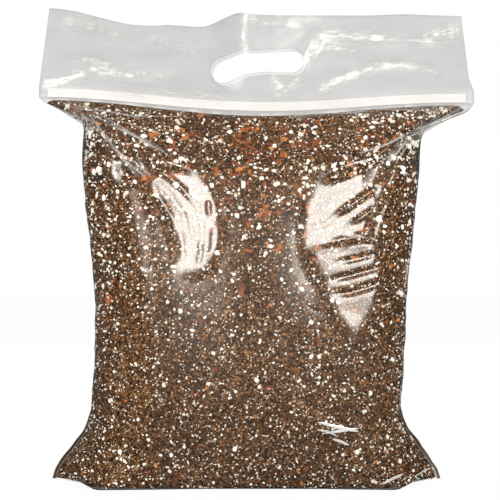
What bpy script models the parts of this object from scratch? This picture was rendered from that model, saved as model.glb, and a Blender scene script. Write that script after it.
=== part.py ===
"""A clear film bag of potting compost that stands on its base.

The bag is one flattened film tube. Its bottom is sealed straight across and its top
is a flat header with a punched hand hole. A press-to-close zip of two interlocking
tracks lies between the layers at the foot of the header, and compost fills the pouch
below it. +X is to the right, the front faces -Y and the bag rests on z = 0.
"""

import math
from collections import namedtuple

import bmesh
import bpy
import numpy as np
from mathutils import Vector

# Film
FLAT_WIDTH = 0.348
FILM_THICKNESS = 0.0003
SEAT_GAP = 0.0003

# Pouch, as filled
ZIP_LINE_HEIGHT = 0.307
ZIP_LINE_SAG = 0.009
ZIP_LINE_LEAN = 0.0024
SHOULDER_WIDTH = 0.270
WAIST_WIDTH = 0.247
BODY_DEPTH = 0.126
BASE_DEPTH = 0.092
BASE_ARCH = 0.0025
GABLE_HEIGHT = 0.056
GABLE_DEPTH = 0.090
GABLE_CREASE_SPAN = 0.176
GABLE_CREASE_BOW = 0.006
TOP_EAR_DROP = 0.017
BOTTOM_EAR_SPAN = 0.311
BOTTOM_EAR_LIFT = 0.0045
BOTTOM_EAR_HEIGHT = 0.062
BODY_SHIFT = -0.0045
EAR_SHIFT = -0.0080

# Header above the zip, leaning back from upright
HEADER_HEIGHT = 0.080
HEADER_NARROWING = 0.014
HEADER_LAYER_SPACE = 0.0012
HEADER_LEAN_LEFT_END = math.radians(17)
HEADER_LEAN_LEFT = math.radians(28)
HEADER_LEAN_MIDDLE = math.radians(3)
HEADER_LEAN_RIGHT = math.radians(14)
HEADER_CREASE_X = -0.026
HEADER_CREASE_WIDTH = 0.042
HEADER_BEND_HEIGHT = 0.018
HAND_HOLE_LENGTH = 0.076
HAND_HOLE_HEIGHT = 0.024
HAND_HOLE_ABOVE_ZIP = 0.039
HAND_HOLE_TILT = math.radians(7)

# Zip
ZIP_BAND_HEIGHT = 0.0075
ZIP_FLANGE_THICKNESS = 0.0004
ZIP_STEM_THICKNESS = 0.0005
ZIP_STEM_LENGTH = 0.0009
ZIP_HEAD_HEIGHT = 0.0015
ZIP_HEAD_THICKNESS = 0.0005
ZIP_JAW_THICKNESS = 0.0004
ZIP_RUNNING_GAP = 0.0003
ZIP_END_SETBACK = 0.007

# Compost
FILL_HEADROOM = 0.004
FILL_RIDGE_SLOPE = 0.5
FILL_SLACK = 0.0005
FILL_SIDE_SLACK = 0.0029

# Mesh fineness
FACE_COLUMNS = 24
SIDE_COLUMNS = 5
HEADER_ROWS = 7
HOLE_ARC_STEPS = 8

HALF_WIDTH = FLAT_WIDTH / 2
ZIP_DEPTH = (
    2 * ZIP_FLANGE_THICKNESS + ZIP_STEM_LENGTH + ZIP_HEAD_THICKNESS + ZIP_RUNNING_GAP
)
ZIP_HALF_SPACE = ZIP_DEPTH / 2 + SEAT_GAP + FILM_THICKNESS
HEADER_HALF_SPACE = HEADER_LAYER_SPACE / 2 + FILM_THICKNESS
HEADER_FOLD_X = HALF_WIDTH - 2.5 * ZIP_HALF_SPACE
FILL_INSET = FILM_THICKNESS + SEAT_GAP + FILL_SLACK
FILL_SIDE_CLEARANCE = FILM_THICKNESS + SEAT_GAP + FILL_SIDE_SLACK

# One ring of film round the pouch, given by three lines that run up each panel: the
# middle of the panel, its soft fold, and the side edge where front and back meet.
Ring = namedtuple(
    "Ring",
    "mid_depth mid_z fold_x fold_depth fold_z side_x side_z roundness shift lean",
)


def smooth_step(t):
    """0 before t = 0 and 1 after t = 1, with a smooth rise between."""
    t = min(1.0, max(0.0, t))
    return t * t * (3 - 2 * t)


def pouch_stations():
    """The rings that shape the pouch, from the bottom seal up to the zip."""
    half_depth = BODY_DEPTH / 2
    half_base = BASE_DEPTH / 2
    half_ear = BOTTOM_EAR_SPAN / 2
    half_waist = WAIST_WIDTH / 2
    half_shoulder = SHOULDER_WIDTH / 2
    half_gable = GABLE_DEPTH / 2
    lift = BOTTOM_EAR_LIFT
    ear_top = BOTTOM_EAR_LIFT + BOTTOM_EAR_HEIGHT
    zip_mid = ZIP_LINE_HEIGHT - ZIP_LINE_SAG
    gable_z = ZIP_LINE_HEIGHT - GABLE_HEIGHT
    crease_x = GABLE_CREASE_SPAN / 2
    rise = gable_z - ear_top

    def ear(share):
        """Distance of the side edge from the middle, up the bottom ear."""
        pulled_in = math.sin(math.pi / 2 * share) ** 1.5
        return half_ear - (half_ear - half_waist) * pulled_in

    def gable(share):
        """Fold point and middle depth, from the crease's lower end up to the zip."""
        fold_x = crease_x + (HEADER_FOLD_X - crease_x) * share
        depth = half_gable + (ZIP_HALF_SPACE - half_gable) * share
        fold_z = gable_z + (ZIP_LINE_HEIGHT - gable_z) * share
        fold_z += GABLE_CREASE_BOW * 4 * share * (1 - share)
        mid_z = gable_z - 0.6 * ZIP_LINE_SAG + (zip_mid - gable_z + 0.6 * ZIP_LINE_SAG) * share
        return fold_x, depth, fold_z, mid_z

    bulge = half_depth - half_base
    slim = half_depth - half_gable
    rings = [
        Ring(0, 0, 0.80 * half_ear, 0, 0, half_ear, lift, 0, EAR_SHIFT, 0),
        Ring(0.5 * half_base, 0, 0.79 * half_ear, 0.46 * half_base, 0, ear(0.13),
             lift + 0.13 * BOTTOM_EAR_HEIGHT, 0.25, EAR_SHIFT, 0),
        Ring(half_base, 0, 0.74 * half_ear, 0.86 * half_base, 0, ear(0.28),
             lift + 0.28 * BOTTOM_EAR_HEIGHT, 0.45, EAR_SHIFT, 0),
        Ring(half_base + 0.45 * bulge, 0.11 * ear_top, 0.66 * half_ear,
             half_base + 0.10 * bulge, 0.10 * ear_top, ear(0.46),
             lift + 0.46 * BOTTOM_EAR_HEIGHT, 0.65, EAR_SHIFT, 0),
        Ring(half_base + 0.82 * bulge, 0.42 * ear_top, 0.56 * half_ear,
             half_base + 0.40 * bulge, 0.41 * ear_top, ear(0.70),
             lift + 0.70 * BOTTOM_EAR_HEIGHT, 0.85, EAR_SHIFT, 0),
        Ring(half_depth, ear_top, 0.60 * half_waist, 0.91 * half_depth, ear_top,
             half_waist, ear_top, 1, EAR_SHIFT, 0),
        Ring(half_depth - 0.12 * slim, ear_top + 0.35 * rise, 0.58 * half_waist,
             0.92 * half_depth - 0.12 * slim, ear_top + 0.35 * rise,
             0.97 * half_waist + 0.03 * half_shoulder, ear_top + 0.35 * rise, 1,
             BODY_SHIFT, 0.2),
        Ring(half_depth - 0.42 * slim, ear_top + 0.68 * rise, 0.60 * half_waist,
             0.92 * half_depth - 0.42 * slim, ear_top + 0.68 * rise,
             0.55 * half_waist + 0.45 * half_shoulder, ear_top + 0.68 * rise, 1,
             BODY_SHIFT, 0.5),
        Ring(half_depth - 0.80 * slim, gable_z - 0.11 * rise, 0.98 * crease_x,
             0.94 * half_depth - 0.80 * slim, gable_z - 0.09 * rise,
             0.10 * half_waist + 0.90 * half_shoulder, gable_z - 0.05 * rise, 0.95,
             BODY_SHIFT, 0.8),
    ]
    side_path = (
        (0.0, half_shoulder, gable_z + 0.13 * GABLE_HEIGHT, 0.80),
        (0.25, half_shoulder, ZIP_LINE_HEIGHT - 1.65 * TOP_EAR_DROP, 0.60),
        (0.5, half_shoulder + 0.05 * (HALF_WIDTH - half_shoulder),
         ZIP_LINE_HEIGHT - 0.97 * TOP_EAR_DROP, 0.35),
        (0.75, half_shoulder + 0.50 * (HALF_WIDTH - half_shoulder),
         ZIP_LINE_HEIGHT - 0.5 * TOP_EAR_DROP, 0.15),
        (1.0, HALF_WIDTH, ZIP_LINE_HEIGHT, 1.0),
    )
    for share, side_x, side_z, roundness in side_path:
        # The last ring is the zip line, whose side edges are round like the header's.
        fold_x, depth, fold_z, mid_z = gable(share)
        rings.append(Ring(depth, mid_z, fold_x, depth, fold_z, side_x, side_z,
                          roundness, BODY_SHIFT * (1 - share), 1))
    return rings


def between(rings, position):
    """The ring at a fractional place in the list, on a smooth curve through them."""
    index = min(int(position), len(rings) - 2)
    t = position - index
    before = rings[max(index - 1, 0)]
    low, high = rings[index], rings[index + 1]
    after = rings[min(index + 2, len(rings) - 1)]
    values = []
    for a, b, c, d in zip(before, low, high, after):
        into, out = _slope(a, b, c), _slope(b, c, d)
        curve = (
            (2 * t**3 - 3 * t**2 + 1) * b
            + (t**3 - 2 * t**2 + t) * into
            + (3 * t**2 - 2 * t**3) * c
            + (t**3 - t**2) * out
        )
        values.append(curve)
    return Ring(*values)


def _slope(before, here, after):
    """A slope at a point that never lets the curve overshoot its points."""
    back, ahead = here - before, after - here
    if back * ahead <= 0:
        return 0.0
    return 2 * back * ahead / (back + ahead)


def ring_point(ring, across):
    """Front-panel point of a ring. across is 0 at the middle, +-1 at the fold lines
    and +-2 at the side edges."""
    side = 1 if across > 0 else -1
    t = min(abs(across), 1)
    bulge = math.cos(math.pi / 2 * t) ** 2
    x = ring.fold_x * t
    depth = ring.fold_depth + (ring.mid_depth - ring.fold_depth) * bulge
    z = ring.fold_z + (ring.mid_z - ring.fold_z) * bulge
    if abs(across) > 1:
        t = abs(across) - 1
        turn = math.pi / 2 * t
        run = (1 - ring.roundness) * t + ring.roundness * math.sin(turn)
        drop = (1 - ring.roundness) * (1 - t) + ring.roundness * math.cos(turn)
        x += (ring.side_x - ring.fold_x) * run
        depth *= drop
        z += (ring.side_z - ring.fold_z) * t
    x = side * x
    z -= ZIP_LINE_LEAN * ring.lean * x / HALF_WIDTH
    return np.array((x + ring.shift, -depth, z))


def column_places():
    """Places across a panel from -2 to 2, with a column on each fold line."""
    face = np.linspace(-1, 1, FACE_COLUMNS + 1)
    side = np.linspace(1, 2, SIDE_COLUMNS + 1)[1:]
    return [*(-side[::-1]), *face, *side]


def pouch_rows():
    """Fractional places of the film rows in the list of stations."""
    return (0, 1, 2, 2.5, 3, 3.5, 4, 4.5, 5, 5.5, 6, 6.5, 7, 7.5, 8, 8.5, 9, 9.5,
            10, 10.5, 11, 11.5, 12, 12.5, 13)


def near_base(point):
    """1 at the base, fading to 0 at the top of the bottom ears."""
    return 1 - smooth_step(point[2] / (BOTTOM_EAR_HEIGHT + BOTTOM_EAR_LIFT))


def base_arch(point):
    """Lift of a film point where the base's front and back edges arch off the floor."""
    x, depth, _ = point
    edge = smooth_step((abs(depth) - 0.62 * BASE_DEPTH / 2) / (0.38 * BASE_DEPTH / 2))
    middle = math.exp(-((x / (0.36 * WAIST_WIDTH)) ** 2))
    return np.array((0, 0, BASE_ARCH * edge * middle * near_base(point)))


def header_lean(x):
    """How far the header leans back at x. Its left part leans more, past a crease."""
    inward = smooth_step((x + HALF_WIDTH) / (0.4 * HALF_WIDTH))
    left = HEADER_LEAN_LEFT_END + (HEADER_LEAN_LEFT - HEADER_LEAN_LEFT_END) * inward
    outward = smooth_step(x / (0.6 * HALF_WIDTH))
    right = HEADER_LEAN_MIDDLE + (HEADER_LEAN_RIGHT - HEADER_LEAN_MIDDLE) * outward
    past_crease = smooth_step((x - HEADER_CREASE_X) / HEADER_CREASE_WIDTH + 0.5)
    return left + (right - left) * past_crease


def header_point(foot, height, half_space):
    """Front and back points of the header, at a height along the film from its foot."""
    above = height - ZIP_BAND_HEIGHT
    lean = header_lean(foot[0]) * smooth_step(0.3 + above / HEADER_BEND_HEIGHT)
    x = foot[0] * (1 - HEADER_NARROWING / FLAT_WIDTH * above / HEADER_HEIGHT)
    y = above * math.sin(lean)
    z = foot[2] + ZIP_BAND_HEIGHT + above * math.cos(lean)
    t = (abs(foot[0]) - HEADER_FOLD_X) / (HALF_WIDTH - HEADER_FOLD_X)
    depth = half_space * math.sqrt(1 - min(1.0, max(0.0, t)) ** 2)
    return np.array((x, y - depth, z)), np.array((x, y + depth, z))


def film_grid():
    """Front and back rows of outer film points, from the bottom seal to the rim."""
    stations = pouch_stations()
    places = column_places()
    front, back = [], []
    for row in pouch_rows():
        ring = between(stations, row)
        points = [ring_point(ring, place) for place in places]
        points = [point + base_arch(point) for point in points]
        front.append(points)
        back.append([point * (1, -1, 1) for point in points])
    last_ring = len(front) - 1
    heights = [ZIP_BAND_HEIGHT]
    for step in range(1, HEADER_ROWS + 1):
        share = step / HEADER_ROWS
        heights.append(ZIP_BAND_HEIGHT + (HEADER_HEIGHT - ZIP_BAND_HEIGHT) * share)
    for height in heights:
        narrowing = smooth_step((height - ZIP_BAND_HEIGHT) / (0.3 * HEADER_HEIGHT))
        half_space = ZIP_HALF_SPACE + (HEADER_HALF_SPACE - ZIP_HALF_SPACE) * narrowing
        pairs = [header_point(foot, height, half_space) for foot in front[last_ring]]
        front.append([pair[0] for pair in pairs])
        back.append([pair[1] for pair in pairs])
    return front, back


def panel_faces(mesh, low, high):
    """Triangles between two rows of corners, split from low outside to high inside."""
    for step in range(len(low) - 1):
        a, b, c, d = low[step], low[step + 1], high[step + 1], high[step]
        first_half = step < (len(low) - 1) / 2
        pair = ((a, b, c), (a, c, d)) if first_half else ((a, b, d), (b, c, d))
        for corners in pair:
            if len(set(corners)) == 3:
                mesh.faces.new(corners)


def tube_mesh(name, front, back, ridge_slope=None):
    """A mesh of closed rings. The lowest ring is a flat line where the panels meet.

    With a ridge slope the top is closed by a roof whose ridge runs along the middle.
    """
    mesh = bmesh.new()
    ahead, behind = [], []
    for number, (front_row, back_row) in enumerate(zip(front, back)):
        row = [mesh.verts.new(point) for point in front_row]
        middle = row[1:-1]
        if number:
            middle = [mesh.verts.new(point) for point in back_row[1:-1]]
        ahead.append(row)
        behind.append([row[0], *middle, row[-1]])
    if ridge_slope is not None:
        ridge = [ahead[-1][0]]
        for near, far in zip(ahead[-1][1:-1], behind[-1][1:-1]):
            rise = ridge_slope * (far.co.y - near.co.y) / 2
            ridge.append(mesh.verts.new((near.co + far.co) / 2 + Vector((0, 0, rise))))
        ridge.append(ahead[-1][-1])
        ahead.append(ridge)
        behind.append(ridge)
    for low, high in zip(ahead, ahead[1:]):
        panel_faces(mesh, low, high)
    for low, high in zip(behind, behind[1:]):
        panel_faces(mesh, low[::-1], high[::-1])
    data = bpy.data.meshes.new(name)
    mesh.to_mesh(data)
    mesh.free()
    data.shade_smooth()
    return data


def add_object(name, data, material):
    """Links a mesh to the scene under its node name, with its material."""
    made = bpy.data.objects.new(name, data)
    bpy.context.scene.collection.objects.link(made)
    data.materials.append(material)
    return made


def add_material(name, colour, roughness, alpha=1.0):
    """A Principled material of one colour."""
    material = bpy.data.materials.new(name)
    material.use_nodes = True
    shader = material.node_tree.nodes["Principled BSDF"]
    shader.inputs["Base Color"].default_value = (*colour, 1)
    shader.inputs["Roughness"].default_value = roughness
    shader.inputs["Metallic"].default_value = 0
    shader.inputs["Alpha"].default_value = alpha
    return material


def hand_hole_cutter():
    """A rounded slot that punches the hand hole through both header layers."""
    radius = HAND_HOLE_HEIGHT / 2
    straight = HAND_HOLE_LENGTH / 2 - radius
    outline = []
    for centre, start in ((straight, -90), (-straight, 90)):
        for step in range(HOLE_ARC_STEPS + 1):
            angle = math.radians(start + 180 * step / HOLE_ARC_STEPS)
            outline.append((centre + radius * math.cos(angle), radius * math.sin(angle)))
    reach = HEADER_HEIGHT
    mesh = bmesh.new()
    near = [mesh.verts.new((x, -reach, z)) for x, z in outline]
    far = [mesh.verts.new((x, reach, z)) for x, z in outline]
    mesh.faces.new(near)
    mesh.faces.new(far[::-1])
    for step in range(len(near)):
        after = (step + 1) % len(near)
        mesh.faces.new((near[after], near[step], far[step], far[after]))
    bmesh.ops.recalc_face_normals(mesh, faces=mesh.faces)
    data = bpy.data.meshes.new("hand_hole_cutter")
    mesh.to_mesh(data)
    mesh.free()
    cutter = bpy.data.objects.new("hand_hole_cutter", data)
    bpy.context.scene.collection.objects.link(cutter)
    foot = ring_point(pouch_stations()[-1], 0)
    cutter.location = (0, 0, foot[2] + HAND_HOLE_ABOVE_ZIP)
    cutter.rotation_euler = (0, -HAND_HOLE_TILT, 0)
    cutter.hide_render = True
    cutter.display_type = "WIRE"
    return cutter


def make_film():
    """The film tube as a thin shell, open at the header's rim, with its hand hole."""
    front, back = film_grid()
    clear = add_material("clear_film", (0.80, 0.81, 0.81), 0.12, 0.35)
    film = add_object("film_bag", tube_mesh("film_bag", front, back), clear)
    wall = film.modifiers.new("wall", "SOLIDIFY")
    wall.thickness = FILM_THICKNESS
    wall.offset = -1
    punch = film.modifiers.new("hand_hole", "BOOLEAN")
    punch.operation = "DIFFERENCE"
    punch.solver = "EXACT"
    punch.object = hand_hole_cutter()
    return film


def make_fill():
    """The compost, a closed body that fills the pouch and ends below the zip."""
    stations = pouch_stations()
    places = column_places()
    top = len(stations) - 1
    foot_z = FILM_THICKNESS + SEAT_GAP
    front, back = [], []
    rows = [row for row in pouch_rows() if row < top]
    for row in rows:
        ring = between(stations, row)
        if ring.mid_z > ZIP_LINE_HEIGHT - ZIP_LINE_SAG - FILL_HEADROOM:
            break
        room = FILL_SIDE_CLEARANCE * (2 - ring.roundness)
        inset = ring._replace(
            mid_depth=max(ring.mid_depth - FILL_INSET, 0),
            fold_depth=max(ring.fold_depth - FILL_INSET, 0),
            fold_x=ring.fold_x - room,
            side_x=ring.side_x - room,
        )
        points = []
        for place in places:
            film = ring_point(ring, place)
            lift = base_arch(film) + (0, 0, foot_z * near_base(film))
            points.append(ring_point(inset, place) + lift)
        front.append(points)
        back.append([point * (1, -1, 1) for point in points])
    earth = add_material("compost", (0.085, 0.052, 0.034), 0.95)
    heap = tube_mesh("compost_fill", front, back, FILL_RIDGE_SLOPE)
    return add_object("compost_fill", heap, earth)


def zip_profiles():
    """Outlines of the two tracks as (depth, height), with the front track at -depth."""
    outer = ZIP_DEPTH / 2
    flange = outer - ZIP_FLANGE_THICKNESS
    middle = ZIP_BAND_HEIGHT / 2
    stem = ZIP_STEM_THICKNESS / 2
    head = ZIP_HEAD_HEIGHT / 2
    stem_end = -flange + ZIP_STEM_LENGTH
    head_end = stem_end + ZIP_HEAD_THICKNESS
    bottom, top = SEAT_GAP, ZIP_BAND_HEIGHT - SEAT_GAP
    rib = [
        (-outer, bottom), (-flange, bottom), (-flange, middle - stem),
        (stem_end, middle - stem), (stem_end, middle - head), (head_end, middle - head),
        (head_end, middle + head), (stem_end, middle + head), (stem_end, middle + stem),
        (-flange, middle + stem), (-flange, top), (-outer, top),
    ]
    inside = head + ZIP_RUNNING_GAP
    outside = inside + ZIP_JAW_THICKNESS
    mouth = stem + ZIP_RUNNING_GAP
    lip_in = stem_end - ZIP_RUNNING_GAP
    lip_out = lip_in - 0.75 * ZIP_JAW_THICKNESS
    groove = [
        (outer, bottom), (outer, top), (flange, top), (flange, middle + outside),
        (lip_out, middle + outside), (lip_out, middle + mouth), (lip_in, middle + mouth),
        (lip_in, middle + inside), (flange, middle + inside), (flange, middle - inside),
        (lip_in, middle - inside), (lip_in, middle - mouth), (lip_out, middle - mouth),
        (lip_out, middle - outside), (flange, middle - outside), (flange, bottom),
    ]
    return {"zip_front_track": rib, "zip_back_track": groove}


def make_zip_tracks():
    """Each track is its outline swept along the zip line, between the film layers."""
    white = add_material("zip_strip", (0.88, 0.88, 0.87), 0.35)
    last = pouch_stations()[-1]
    path = []
    reach = (HALF_WIDTH - ZIP_END_SETBACK) / HEADER_FOLD_X
    for place in np.linspace(-reach, reach, FACE_COLUMNS // 2 + 1):
        path.append(ring_point(last, place) * (1, 0, 1))
    made = []
    for name, outline in zip_profiles().items():
        mesh = bmesh.new()
        loops = []
        for foot in path:
            loops.append([mesh.verts.new((foot[0], y, foot[2] + z)) for y, z in outline])
        for near, far in zip(loops, loops[1:]):
            for step in range(len(near)):
                after = (step + 1) % len(near)
                mesh.faces.new((near[step], near[after], far[after], far[step]))
        mesh.faces.new(loops[0])
        mesh.faces.new(loops[-1])
        bmesh.ops.recalc_face_normals(mesh, faces=mesh.faces)
        data = bpy.data.meshes.new(name)
        mesh.to_mesh(data)
        mesh.free()
        made.append(add_object(name, data, white))
    return made


def main():
    """Clears the scene and builds the bag."""
    for old in list(bpy.data.objects):
        bpy.data.objects.remove(old, do_unlink=True)
    make_film()
    make_fill()
    make_zip_tracks()


main()
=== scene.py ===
"""Dressed clear film bag of compost. Lengths are in metres, +Z up, and the front faces -Y."""
import math

import bmesh
import bpy
import numpy as np
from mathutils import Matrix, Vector


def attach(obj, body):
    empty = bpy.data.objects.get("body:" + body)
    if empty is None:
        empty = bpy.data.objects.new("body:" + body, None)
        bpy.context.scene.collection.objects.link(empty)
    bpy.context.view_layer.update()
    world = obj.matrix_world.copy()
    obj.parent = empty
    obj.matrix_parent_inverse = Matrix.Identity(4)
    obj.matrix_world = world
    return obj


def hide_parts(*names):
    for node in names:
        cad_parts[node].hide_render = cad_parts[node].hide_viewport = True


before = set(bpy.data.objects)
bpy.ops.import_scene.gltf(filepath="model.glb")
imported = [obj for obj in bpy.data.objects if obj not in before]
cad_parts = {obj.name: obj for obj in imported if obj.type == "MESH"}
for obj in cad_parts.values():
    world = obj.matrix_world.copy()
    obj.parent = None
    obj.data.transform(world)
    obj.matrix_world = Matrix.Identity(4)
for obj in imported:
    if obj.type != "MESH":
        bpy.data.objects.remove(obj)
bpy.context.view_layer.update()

MM = 0.001

# The bag's form, with the same names and values as the solids.
FLAT_WIDTH = 0.348
ZIP_LINE_HEIGHT = 0.307
ZIP_LINE_SAG = 0.009
ZIP_LINE_LEAN = 0.0024
SHOULDER_WIDTH = 0.270
WAIST_WIDTH = 0.247
BODY_DEPTH = 0.126
BASE_DEPTH = 0.092
BASE_ARCH = 0.0025
GABLE_HEIGHT = 0.056
GABLE_DEPTH = 0.090
GABLE_CREASE_SPAN = 0.176
GABLE_CREASE_BOW = 0.006
TOP_EAR_DROP = 0.017
BOTTOM_EAR_SPAN = 0.311
BOTTOM_EAR_LIFT = 0.0045
BOTTOM_EAR_HEIGHT = 0.062
BODY_SHIFT = -0.0045
EAR_SHIFT = -0.0080
HEADER_HEIGHT = 0.080
HEADER_NARROWING = 0.014
HEADER_LEAN_LEFT_END = math.radians(17)
HEADER_LEAN_LEFT = math.radians(28)
HEADER_LEAN_MIDDLE = math.radians(3)
HEADER_LEAN_RIGHT = math.radians(14)
HEADER_CREASE_X = -0.026
HEADER_CREASE_WIDTH = 0.042
HEADER_BEND_HEIGHT = 0.018
ZIP_BAND_HEIGHT = 0.0075
ZIP_HALF_SPACE = 0.00185
HEADER_HALF_SPACE = 0.0009

# How far the compost lies inside the film, and what only the dressed bag has.
FILL_INSET = 0.0012
FILL_SIDE_CLEARANCE = 0.0013
EAR_DROOP_LEFT = 0.0022
EAR_DROOP_RIGHT = 0.0050
HEADER_RIGHT_STEP = 0.0026
HEADER_STEP_HEIGHT = 0.015
BACK_HOLE_SHIFT = (0.0022, -0.0022)
FILL_FOOT_LIFT = 0.0008
EMPTY_BAND_HEIGHT = 0.0060
# Painted shade: where the dark strip down the film's side edges begins, and how softly it blends
# in.
SHADED_EDGE_ACROSS = 1.87
SHADED_EDGE_BLEND = 0.06
DUST_LEFT_X = -0.077
DUST_RIGHT_X = 0.094
DUST_TOP_Z = 0.245
DUST_BLEND = 0.006
PLEAT_STEP = 1.1 * MM
PLEAT_REACH = 1.2 * MM
PLEAT_LIFT = 0.12 * MM
GLINT_WHITENESS = 0.40
FILM_OPACITY = 0.080
DUST_OPACITY_LOSS = 0.062

HALF_WIDTH = FLAT_WIDTH / 2
HEADER_FOLD_X = HALF_WIDTH - 2.5 * ZIP_HALF_SPACE
EAR_TOP = BOTTOM_EAR_LIFT + BOTTOM_EAR_HEIGHT
LAST_RING = 13
FRONT, BACK = -1, 1

# How fine the meshes are.
FRONT_COLUMNS = 288
BACK_COLUMNS = 144
ROWS_BETWEEN_RINGS = (4, 5, 8, 14, 24, 44, 44, 36, 14, 13, 13, 13, 13)
HEADER_ROWS = 74
FILL_COLUMNS = 190
FILL_ROWS = 200
FILL_TOP_PLACE = 12.55

# Camera and light.
CAMERA_PLACE = (-0.0052, -1.4, 0.187)
CAMERA_LENS = 126.0
LAMP_COLOUR = (1.0, 0.955, 0.89)
MIRRORED_LAMP_DISTANCE = 1.5
MIRRORED_LAMP_SIZE = (0.34, 0.50)
WORLD_STRENGTH = 0.62
DARK_WALL_GLOW = 0.06
FLOOR_WHITE_SHARE = 0.96


# Small helpers

def smooth_step(t):
    t = np.clip(t, 0.0, 1.0)
    return t * t * (3 - 2 * t)


def cell_hash(cells, seed):
    """A repeatable number from 0 to 1 for each whole-number cell."""
    x, y, z = (cells[..., k].astype(np.int64) for k in range(3))
    mixed = (x * 73856093) ^ (y * 19349663) ^ (z * 83492791) ^ (seed * 2654435761)
    mixed = ((mixed ^ (mixed >> 13)) * 1274126177) & 0xFFFFFFFF
    mixed = ((mixed ^ (mixed >> 16)) * 668265263) & 0xFFFFFFFF
    mixed = mixed ^ (mixed >> 15)
    return (mixed & 0xFFFFF) / float(0xFFFFF)


def noise(points, size, seed):
    """Smooth noise of about -1 to 1 whose lumps are about size across."""
    scaled = np.asarray(points) / size + 211.3
    base = np.floor(scaled)
    part = scaled - base
    blend = part * part * part * (part * (part * 6 - 15) + 10)
    total = 0.0
    for corner in range(8):
        step = np.array([corner & 1, corner >> 1 & 1, corner >> 2 & 1])
        weight = np.prod(np.where(step, blend, 1 - blend), axis=-1)
        away = part - step
        cells = base + step
        slope = sum((2 * cell_hash(cells, seed + 31 * k) - 1) * away[..., k] for k in range(3))
        total = total + weight * slope
    return 1.8 * total


def plane_points(x, z):
    return np.stack([x, np.zeros_like(x), z], axis=-1)


# The bag's form

def ring_table():
    """Each ring: mid depth and z, fold x, depth and z, side x and z, roundness, shift, lean."""
    half_ear = BOTTOM_EAR_SPAN / 2
    half_waist = WAIST_WIDTH / 2
    half_shoulder = SHOULDER_WIDTH / 2
    half_depth = BODY_DEPTH / 2
    half_base = BASE_DEPTH / 2
    half_gable = GABLE_DEPTH / 2
    crease_x = GABLE_CREASE_SPAN / 2
    gable_z = ZIP_LINE_HEIGHT - GABLE_HEIGHT
    zip_mid = ZIP_LINE_HEIGHT - ZIP_LINE_SAG
    rise = gable_z - EAR_TOP
    bulge = half_depth - half_base
    slim = half_depth - half_gable
    tall = BOTTOM_EAR_HEIGHT
    lift = BOTTOM_EAR_LIFT

    def ear(share):
        return half_ear - (half_ear - half_waist) * math.sin(math.pi / 2 * share) ** 1.5

    rings = [
        (0, 0, 0.80 * half_ear, 0, 0, half_ear, lift, 0, EAR_SHIFT, 0),
        (0.5 * half_base, 0, 0.79 * half_ear, 0.46 * half_base, 0,
         ear(0.13), lift + 0.13 * tall, 0.25, EAR_SHIFT, 0),
        (half_base, 0, 0.74 * half_ear, 0.86 * half_base, 0,
         ear(0.28), lift + 0.28 * tall, 0.45, EAR_SHIFT, 0),
        (half_base + 0.45 * bulge, 0.11 * EAR_TOP, 0.66 * half_ear, half_base + 0.10 * bulge,
         0.10 * EAR_TOP, ear(0.46), lift + 0.46 * tall, 0.65, EAR_SHIFT, 0),
        (half_base + 0.82 * bulge, 0.42 * EAR_TOP, 0.56 * half_ear, half_base + 0.40 * bulge,
         0.41 * EAR_TOP, ear(0.70), lift + 0.70 * tall, 0.85, EAR_SHIFT, 0),
        (half_depth, EAR_TOP, 0.60 * half_waist, 0.91 * half_depth, EAR_TOP,
         half_waist, EAR_TOP, 1, EAR_SHIFT, 0),
        (half_depth - 0.12 * slim, EAR_TOP + 0.35 * rise, 0.58 * half_waist,
         0.92 * half_depth - 0.12 * slim, EAR_TOP + 0.35 * rise,
         0.97 * half_waist + 0.03 * half_shoulder, EAR_TOP + 0.35 * rise, 1, BODY_SHIFT, 0.2),
        (half_depth - 0.42 * slim, EAR_TOP + 0.68 * rise, 0.60 * half_waist,
         0.92 * half_depth - 0.42 * slim, EAR_TOP + 0.68 * rise,
         0.55 * half_waist + 0.45 * half_shoulder, EAR_TOP + 0.68 * rise, 1, BODY_SHIFT, 0.5),
        (half_depth - 0.80 * slim, gable_z - 0.11 * rise, 0.98 * crease_x,
         0.94 * half_depth - 0.80 * slim, gable_z - 0.09 * rise,
         0.10 * half_waist + 0.90 * half_shoulder, gable_z - 0.05 * rise,
         0.95, BODY_SHIFT, 0.8),
    ]
    wider = HALF_WIDTH - half_shoulder
    side_path = (
        (0.0, half_shoulder, gable_z + 0.13 * GABLE_HEIGHT, 0.80),
        (0.25, half_shoulder, ZIP_LINE_HEIGHT - 1.65 * TOP_EAR_DROP, 0.60),
        (0.5, half_shoulder + 0.05 * wider, ZIP_LINE_HEIGHT - 0.97 * TOP_EAR_DROP, 0.35),
        (0.75, half_shoulder + 0.50 * wider, ZIP_LINE_HEIGHT - 0.5 * TOP_EAR_DROP, 0.15),
        (1.0, HALF_WIDTH, ZIP_LINE_HEIGHT, 1.0),
    )
    for share, side_x, side_z, roundness in side_path:
        fold_x = crease_x + (HEADER_FOLD_X - crease_x) * share
        depth = half_gable + (ZIP_HALF_SPACE - half_gable) * share
        bow = GABLE_CREASE_BOW * 4 * share * (1 - share)
        fold_z = gable_z + (ZIP_LINE_HEIGHT - gable_z) * share + bow
        mid_foot = gable_z - 0.6 * ZIP_LINE_SAG
        mid_z = mid_foot + (zip_mid - mid_foot) * share
        rings.append((depth, mid_z, fold_x, depth, fold_z, side_x, side_z, roundness,
                      BODY_SHIFT * (1 - share), 1))
    return np.array(rings, dtype=float)


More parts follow.
